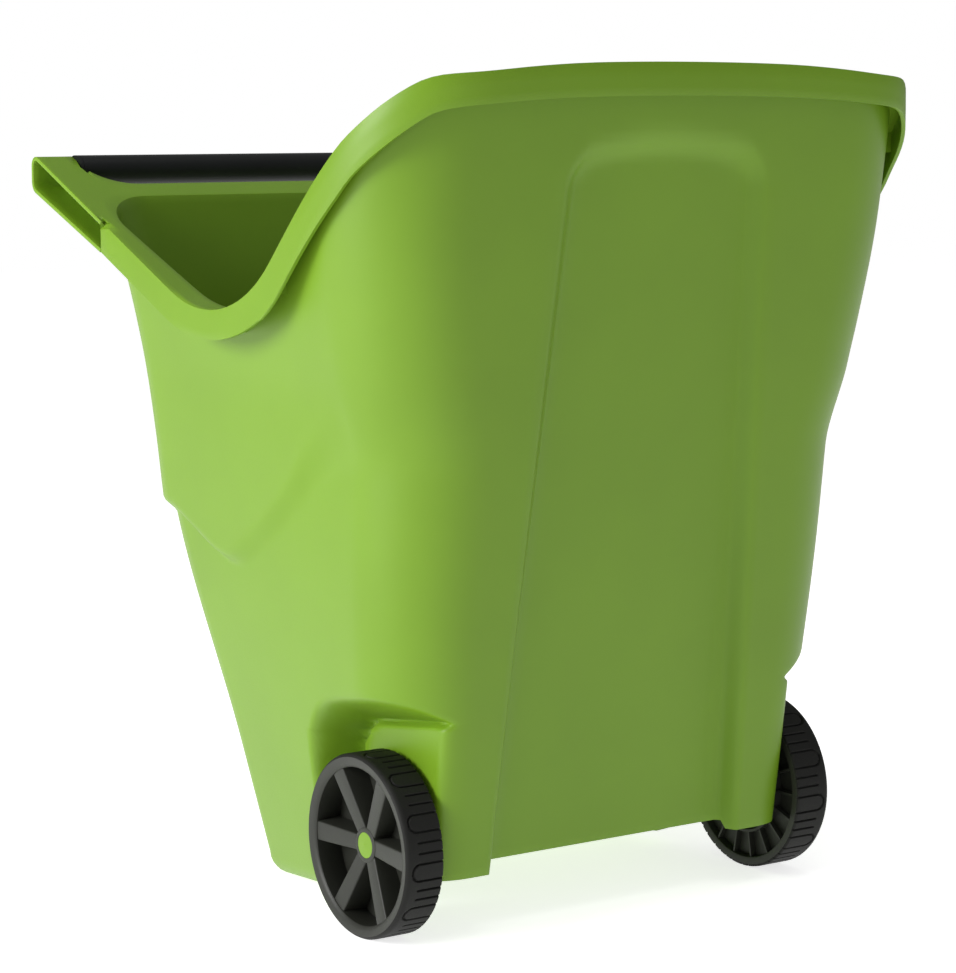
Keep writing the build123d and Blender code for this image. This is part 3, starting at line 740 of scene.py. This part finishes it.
# %% The floor sheet
FLOOR_LOW, FLOOR_HIGH, FLOOR_ROWS, FLOOR_POINTS = 4.0, 104.0, 100, 121
FLOOR_FRONT, FLOOR_BACK = front_face(FLOOR_HIGH) + 0.8 * WALL, 95.0
LEVEL_FROM, STEP_FROM, STEP_TO = -125.0, -22, -104
CURL_GAP = 9.0  # the floor ends this far inside the outer face where the foot curls in
FLOOR_STEPS = [(110, FLOOR_LOW), (FLAT_TO, FLOOR_LOW), (STEP_FROM, FLOOR_LOW + foot_rise(STEP_FROM))]
FLOOR_STEPS += [(STEP_TO, FLOOR_HIGH), (FLOOR_FRONT, FLOOR_HIGH)]
line = rounded(FLOOR_STEPS, [60, 30, 30], steps=8)
run = np.concatenate([[0], np.cumsum(np.hypot(*np.diff(line, axis=0).T))])
places = np.linspace(0, run[-1], FLOOR_ROWS)
dense = np.stack([np.interp(places, run, line[:, k]) for k in range(2)], axis=1)
sides = slice(FRONT, haunch + HAUNCH)
floor_mesh = bmesh.new()
floor_rows = []
for fy, fz in dense:
    ring_x, ring_y = wall(np.full((1, COLUMNS), max(fz, 20.0)))
    order = np.argsort(ring_y[0][sides])
    curled = CURL_GAP if fz < CURL + foot_rise(fy) else WALL / 2
    reach = np.interp(fy, ring_y[0][sides][order], ring_x[0][sides][order]) - curled
    across = np.linspace(-1, 1, FLOOR_POINTS) * reach
    # in front the floor ends against the wall, which is sunk in its middle
    share = np.clip((LEVEL_FROM - fy) / (LEVEL_FROM - FLOOR_FRONT), 0, 1)
    level = np.full(FLOOR_POINTS, fz)
    if fy < FLOOR_BACK:
        floor_rows.append((across, fy + share * panel_depth(across, level), level))
weave(floor_mesh, floor_rows)
floor = to_object(floor_mesh, "tub_floor", tub_plastic)
floor = solid(floor, WALL, 0.0)
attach(floor, "cart")
print("floor", len(floor.data.polygons), "faces")

# %% [markdown]
# ## Ribs under the rim
# Thin ribs stand between the wall and the skirt along each side, and inside each arm a web runs
# forward from the end of the arm to the wall of the tub.

# %% The ribs and the two webs
RIB_PLACES = (-230, -178, -118, -40, 40, 110)
RIB_THICK, RIB_DEPTH = 2.4, 17.0
RIB_ROOT, RIB_BITE = 3, 0.5  # how far a rib goes into the wall, and into the skirt and the rim
WEB_LOW_FROM, WEB_HIGH_FROM = 190, 198
web_back = fillet_y + 2
side_columns = slice(FRONT, haunch + 1)


def block(mesh, points):
    """Add a closed six-sided block; points are two rings of four, in the same order."""
    verts = [mesh.verts.new(p) for p in points]
    mesh.faces.new(verts[3::-1])
    mesh.faces.new(verts[4:])
    for i in range(4):
        j = (i + 1) % 4
        mesh.faces.new((verts[i], verts[j], verts[j + 4], verts[i + 4]))


ribs = bmesh.new()
for place in RIB_PLACES:
    wall_x = np.interp(place, y[-1][side_columns], x[-1][side_columns]) - RIB_ROOT
    skirt_x = np.interp(place, rim_y[side_columns], rim_x[side_columns]) + RIB_BITE
    high_z = rim_height(skirt_x, place) - WALL + RIB_BITE
    low_z = high_z - RIB_DEPTH
    edges = [(wall_x, low_z), (skirt_x, low_z), (skirt_x, high_z), (wall_x, high_z)]
    rings = [(px, place + d, pz) for d in (-RIB_THICK / 2, RIB_THICK / 2) for px, pz in edges]
    block(ribs, rings)
web = [(py, arm_low(py) + 1) for py in (WEB_LOW_FROM, web_back)]
web += [(py, ARM_TOP + ARM_SLOPE * (py - ARM_END) - 2) for py in (web_back, WEB_HIGH_FROM)]
block(ribs, [(px, py, pz) for px in (ARM_INNER, inner_web) for py, pz in web])
bmesh.ops.recalc_face_normals(ribs, faces=ribs.faces)
mirrored(ribs)
tub_ribs = to_object(ribs, "tub_ribs", tub_plastic, smooth=False)
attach(tub_ribs, "cart")
print("ribs and webs", len(tub_ribs.data.polygons), "faces")

# %% [markdown]
# ## Geometry Nodes that carry a piece round the axle
# A wheel is one twelfth of its tread, one spoke and one rib, each many times over. This small
# tree takes the piece it is put on, stands a copy on each of a number of points that all lie on
# the axle line, and turns each copy a little further about X. The copies are made real and
# welded, because an export would drop instances.


# %% The tree and how it is used
def round_axle_tree():
    """Geometry Nodes group: copies of the piece turned about the X axis."""
    tree = bpy.data.node_groups.new("round_the_axle", "GeometryNodeTree")
    tree.interface.new_socket("Geometry", in_out="INPUT", socket_type="NodeSocketGeometry")
    tree.interface.new_socket("Copies", in_out="INPUT", socket_type="NodeSocketInt")
    tree.interface.new_socket("Finish", in_out="INPUT", socket_type="NodeSocketMaterial")
    tree.interface.new_socket("Geometry", in_out="OUTPUT", socket_type="NodeSocketGeometry")
    start, end = tree.nodes.new("NodeGroupInput"), tree.nodes.new("NodeGroupOutput")
    points = tree.nodes.new("GeometryNodePoints")
    index = tree.nodes.new("GeometryNodeInputIndex")
    share = tree.nodes.new("ShaderNodeMath")
    share.operation = "DIVIDE"
    turn = tree.nodes.new("ShaderNodeMath")
    turn.operation = "MULTIPLY"
    turn.inputs[1].default_value = math.tau
    rotation = tree.nodes.new("ShaderNodeCombineXYZ")
    stand = tree.nodes.new("GeometryNodeInstanceOnPoints")
    real = tree.nodes.new("GeometryNodeRealizeInstances")
    weld = tree.nodes.new("GeometryNodeMergeByDistance")
    weld.inputs["Distance"].default_value = 0.00002
    paint = tree.nodes.new("GeometryNodeSetMaterial")
    link = tree.links.new
    link(start.outputs["Copies"], points.inputs["Count"])
    link(index.outputs["Index"], share.inputs[0])
    link(start.outputs["Copies"], share.inputs[1])
    link(share.outputs["Value"], turn.inputs[0])
    link(turn.outputs["Value"], rotation.inputs["X"])
    link(points.outputs["Points"], stand.inputs["Points"])
    link(start.outputs["Geometry"], stand.inputs["Instance"])
    link(rotation.outputs["Vector"], stand.inputs["Rotation"])
    link(stand.outputs["Instances"], real.inputs["Geometry"])
    link(real.outputs["Geometry"], weld.inputs["Geometry"])
    link(weld.outputs["Geometry"], paint.inputs["Geometry"])
    link(start.outputs["Finish"], paint.inputs["Material"])
    link(paint.outputs["Geometry"], end.inputs["Geometry"])
    return tree


ROUND_AXLE = round_axle_tree()


def carried_round(mesh, name, copies, finish):
    """One piece, in millimetres about the axle line, becomes a ring of copies."""
    piece = to_object(mesh, name, finish)
    ring = piece.modifiers.new("ring", "NODES")
    ring.node_group = ROUND_AXLE
    wanted = {"Copies": copies, "Finish": finish}
    for item in ROUND_AXLE.interface.items_tree:
        if item.name in wanted:
            ring[item.identifier] = wanted[item.name]
    return baked(piece)


# %% [markdown]
# ## The tread
# The tread is a smooth band with thin grooves. In each twelfth there is one long block whose
# outer end is round, framed by its groove, and then short grooves that stop before the
# shoulder. The radius of each point is worked out from its distance to the nearest groove.

# %% Sizes of the wheel, in millimetres
WHEEL_RADIUS, WHEEL_INNER, WHEEL_OUTER = 77.5, 189.0, 225.0
AXLE_Y, AXLE_Z = -143.5, 77.5
SECTORS, SPOKES, RIBS = 12, 6, 18
SECTOR = math.tau * WHEEL_RADIUS / SECTORS
BLOCK, GROOVE_DEPTH = 14.5, 1.9
SHORT_GROOVES = (BLOCK + (SECTOR - BLOCK) / 3, BLOCK + 2 * (SECTOR - BLOCK) / 3)


def from_groove(s, x):
    """Distance on the tread from the nearest groove; s runs round the wheel, x across it."""
    nearest = np.full_like(s, 99.0)
    for shift in (0.0, SECTOR):
        middle = s - shift - BLOCK / 2
        straight = np.abs(np.abs(middle) - BLOCK / 2)
        bow = np.abs(np.hypot(middle, x - 212) - BLOCK / 2)
        nearest = np.minimum(nearest, np.where(x < 212, straight, bow))
    for place in SHORT_GROOVES:
        nearest = np.minimum(nearest, np.hypot(s - place, np.maximum(x - 212.5, 0)))
    return nearest


# %% One twelfth of the tread
grooves_at = [0.0, BLOCK, *SHORT_GROOVES, SECTOR]
around_s = set(np.round(np.arange(1.8, BLOCK, 1.2), 3)) | set(np.round(np.linspace(0, SECTOR, 15), 3))
for place in grooves_at:
    around_s |= {round(place + d, 3) for d in (-1.3, -0.9, -0.45, 0, 0.45, 0.9, 1.3)}
around_s = np.array(sorted(v for v in around_s if 0 <= v <= SECTOR - 0.01) + [SECTOR])
across_x = np.concatenate(
    [[189.5, 190.2, 191, 196, 201, 206, 210], np.arange(211.5, 221, 0.8), [222, 223.2, 224.2]]
)
grid_s, grid_x = np.meshgrid(around_s, across_x)
cut = 1 - ease((from_groove(grid_s, grid_x) - 0.35) / 0.75)
shoulder = 2.4 * np.clip((grid_x - 221) / 4, 0, 1) ** 2
shoulder += 1.2 * np.clip((190.6 - grid_x) / 1.6, 0, 1) ** 2
radius = WHEEL_RADIUS - GROOVE_DEPTH * cut * ease((221.5 - grid_x) / 2) - shoulder
grid_x = np.vstack([np.full(len(around_s), WHEEL_INNER), grid_x, np.full(len(around_s), WHEEL_OUTER)])
INNER_EDGE, OUTER_EDGE = 75.2, 74.6  # radius at the two rims that the band runs into
radius = np.vstack([np.full(len(around_s), INNER_EDGE), radius, np.full(len(around_s), OUTER_EDGE)])
angle = np.vstack([around_s] * len(grid_x)) / WHEEL_RADIUS
sector_rows = [(gx, r * np.cos(a), r * np.sin(a)) for gx, r, a in zip(grid_x, radius, angle)]
print("tread sector", grid_x.size, "points, copies", SECTORS)

# %% [markdown]
# ## Rim, hub, spokes and ribs
# The rim and hub are turned shapes. The spokes are deep and dished, so that the hub lies eight
# millimetres inside the outer edge, and a disc closes the wheel behind them. On the inner side
# thin ribs join the rim to a ring.


# %% Turned shapes, spokes and ribs
def turned(mesh, profile, steps=120):
    """Add a closed (x, radius) outline spun about the axle line."""
    rings = []
    for k in range(steps):
        a = math.tau * k / steps
        rings.append([mesh.verts.new((px, r * math.cos(a), r * math.sin(a))) for px, r in profile])
    for k in range(steps):
        ring, after = rings[k], rings[(k + 1) % steps]
        for i in range(len(profile)):
            j = (i + 1) % len(profile)
            mesh.faces.new((ring[i], after[i], after[j], ring[j]))


RIM_OUTLINE = [
    (225, 74.7), (224.9, 73.6), (224.2, 70), (223.2, 67.2), (222, 66.2), (219.5, 66), (205, 66.8),
    (190.2, 68.4), (189.3, 69), (189, 70), (189, 75.3), (200, 75), (215, 74.5),
]  # fmt: skip
HUB_OUTLINE = [
    (216.1, 11), (216.3, 13.2), (215.6, 14.8), (213, 15.4), (200, 16), (188.4, 15), (187.9, 14.2),
    (187.9, 5.1), (199, 5.1), (199, 11),
]  # fmt: skip
DISC_OUTLINE = [(196, 14), (198.4, 14), (198.4, 68.5), (196, 68.5)]
RING_OUTLINE = [(189.4, 43.8), (197, 43.4), (197, 46.4), (189.4, 46)]


def prism(mesh, corners, low, high):
    """Add a block between two four-cornered outlines, given as functions of the corner."""
    bottom = [mesh.verts.new(low(*c)) for c in corners]
    top = [mesh.verts.new(high(*c)) for c in corners]
    mesh.faces.new(bottom[::-1])
    mesh.faces.new(top)
    for i in range(len(corners)):
        j = (i + 1) % len(corners)
        mesh.faces.new((bottom[i], bottom[j], top[j], top[i]))


SPOKE_FROM, SPOKE_TO, SPOKE_NARROW, SPOKE_WIDE = 10.5, 67.5, 6.8, 8.4
SPOKE_BACK, SPOKE_FACE, SPOKE_DISH, SPOKE_DRAFT = 197.5, 214.9, 0.118, 1.12
RIB_FROM, RIB_TO, RIB_HALF = 45, 68.6, 1.2


def spoke_mesh():
    """One spoke along +Y: a deep bar whose face is dished towards the hub."""
    mesh = bmesh.new()
    corners = [
        (SPOKE_FROM, -SPOKE_NARROW),
        (SPOKE_TO, -SPOKE_WIDE),
        (SPOKE_TO, SPOKE_WIDE),
        (SPOKE_FROM, SPOKE_NARROW),
    ]
    prism(
        mesh,
        corners,
        lambda y, z: (SPOKE_BACK, y, z * SPOKE_DRAFT),
        lambda y, z: (SPOKE_FACE + (y - 10) * SPOKE_DISH, y, z),
    )
    bmesh.ops.recalc_face_normals(mesh, faces=mesh.faces)
    ends = [(e, e.verts[0].co, e.verts[1].co) for e in mesh.edges]
    sharp = [e for e, one, other in ends if abs(one.y - other.y) > 30 and one.x > 205]
    bmesh.ops.bevel(mesh, geom=sharp, offset=1.3, segments=3, affect="EDGES", profile=0.5)
    return mesh


def rib_mesh():
    """One thin rib between the ring and the rim, on the inner side."""
    mesh = bmesh.new()
    corners = [(RIB_FROM, -RIB_HALF), (RIB_TO, -RIB_HALF), (RIB_TO, RIB_HALF), (RIB_FROM, RIB_HALF)]
    prism(mesh, corners, lambda y, z: (190.2, y, z * 0.8), lambda y, z: (197, y, z))
    bmesh.ops.recalc_face_normals(mesh, faces=mesh.faces)
    return mesh


# %% Put each wheel together and set it on its axle
def whole_wheel(word, side):
    """Tread, rim, hub, disc, spokes and ribs of one wheel, as one piece."""
    tread = bmesh.new()
    weave(tread, sector_rows)
    bmesh.ops.recalc_face_normals(tread, faces=tread.faces)
    tread.faces.ensure_lookup_table()
    if tread.faces[0].normal.y < 0 and tread.faces[0].normal.x > -0.9:
        bmesh.ops.reverse_faces(tread, faces=tread.faces)
    body = bmesh.new()
    for outline in (RIM_OUTLINE, HUB_OUTLINE, DISC_OUTLINE, RING_OUTLINE):
        turned(body, outline)
    bmesh.ops.recalc_face_normals(body, faces=body.faces)
    parts = [
        carried_round(tread, "tread", SECTORS, tread_plastic),
        carried_round(spoke_mesh(), "spokes", SPOKES, wheel_plastic),
        carried_round(rib_mesh(), "ribs", RIBS, wheel_plastic),
        to_object(body, "rim_and_hub", wheel_plastic),
    ]
    wheel = bmesh.new()
    for number, part in enumerate(parts):
        before = len(wheel.faces)
        wheel.from_mesh(part.data)
        wheel.faces.ensure_lookup_table()
        for face in wheel.faces[before:]:
            face.material_index = 0 if number else 1
        bpy.data.objects.remove(part)
    for vert in wheel.verts:
        vert.co = (side * vert.co.x, vert.co.y + AXLE_Y * MM, vert.co.z + AXLE_Z * MM)
    if side < 0:
        bmesh.ops.reverse_faces(wheel, faces=wheel.faces)
    piece = to_object(wheel, f"wheel_{word}_detailed", wheel_plastic, scale=1.0)
    piece.data.materials.append(tread_plastic)
    piece.data.set_sharp_from_angle(angle=math.radians(35))
    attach(piece, f"{word}_wheel")
    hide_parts(f"wheel_{word}")
    print(piece.name, len(piece.data.polygons), "faces")


for word, side in SIDES.items():
    whole_wheel(word, side)

# %% CAD pieces that keep their shape get their finish
slots = ("tub_plastic", "wheel_plastic", "grip_plastic", "steel")
finish_of = dict(zip(slots, (tub_plastic, wheel_plastic, grip_plastic, steel)))
for part in frame["record"]["subparts"]:
    data = frame["nodes"][part["node"]].data
    data.materials.clear()
    data.materials.append(finish_of[part["material_slot"]])

# %% [markdown]
# ## Studio
# A pale floor that glows a little, so that it stays white far away, a large soft light from the
# left that makes the side much brighter than the front, one from above that reaches into the
# tub, and a dim pale surround that fills the shadows. The surround is brighter to the camera
# than to the cart, so the background is clean without washing out the plastic.

# %% Floor, lights and surround
FLOOR_GLOW, SURROUND_LIGHT = 0.74, 0.29
ground_mesh = bmesh.new()
bmesh.ops.create_grid(ground_mesh, x_segments=1, y_segments=1, size=9000)
pale = grained("pale_floor", (0.86, 0.86, 0.86), 0.7, 60.0, 0.0001, cloud=0.01)
paper = pale.node_tree.nodes["Principled BSDF"]
paper.inputs["Emission Color"].default_value = (1.0, 1.0, 1.0, 1)
paper.inputs["Emission Strength"].default_value = FLOOR_GLOW
ground = to_object(ground_mesh, "ground", pale)


def area_light(name, place, size, power, aim=(0, 0, 0.35)):
    """A square soft light that looks at the cart."""
    data = bpy.data.lights.new(name, "AREA")
    data.size = size
    data.energy = power
    lamp = bpy.data.objects.new(name, data)
    bpy.context.scene.collection.objects.link(lamp)
    lamp.location = place
    lamp.rotation_euler = (Vector(aim) - Vector(place)).to_track_quat("-Z", "Y").to_euler()
    return lamp


area_light("key", (-3.6, 0.25, 1.5), 1.6, 146)
area_light("front_fill", (-0.8, -4.5, 2.0), 3.0, 6)
area_light("over", (-0.5, -0.5, 3.4), 2.2, 34)

surround = bpy.data.worlds.new("surround")
bpy.context.scene.world = surround
surround.use_nodes = True
sky = surround.node_tree.nodes["Background"]
sky.inputs["Color"].default_value = (1.0, 1.0, 1.0, 1)
seen = surround.node_tree.nodes.new("ShaderNodeLightPath")
strength = surround.node_tree.nodes.new("ShaderNodeMapRange")
strength.inputs["To Min"].default_value = SURROUND_LIGHT
strength.inputs["To Max"].default_value = 1.0
surround.node_tree.links.new(seen.outputs["Is Camera Ray"], strength.inputs["Value"])
surround.node_tree.links.new(strength.outputs["Result"], sky.inputs["Strength"])
bpy.context.scene.view_settings.view_transform = "Standard"

# %% The camera
eye = bpy.data.cameras.new("eye")
eye.sensor_width = 36.0
eye.lens = 107.78
camera = bpy.data.objects.new("eye", eye)
bpy.context.scene.collection.objects.link(camera)
camera.location = (-1.47916, -2.13210, 0.68451)
camera.rotation_euler = (math.pi / 2 - 0.129791, 0.0, -0.605629)
bpy.context.scene.camera = camera
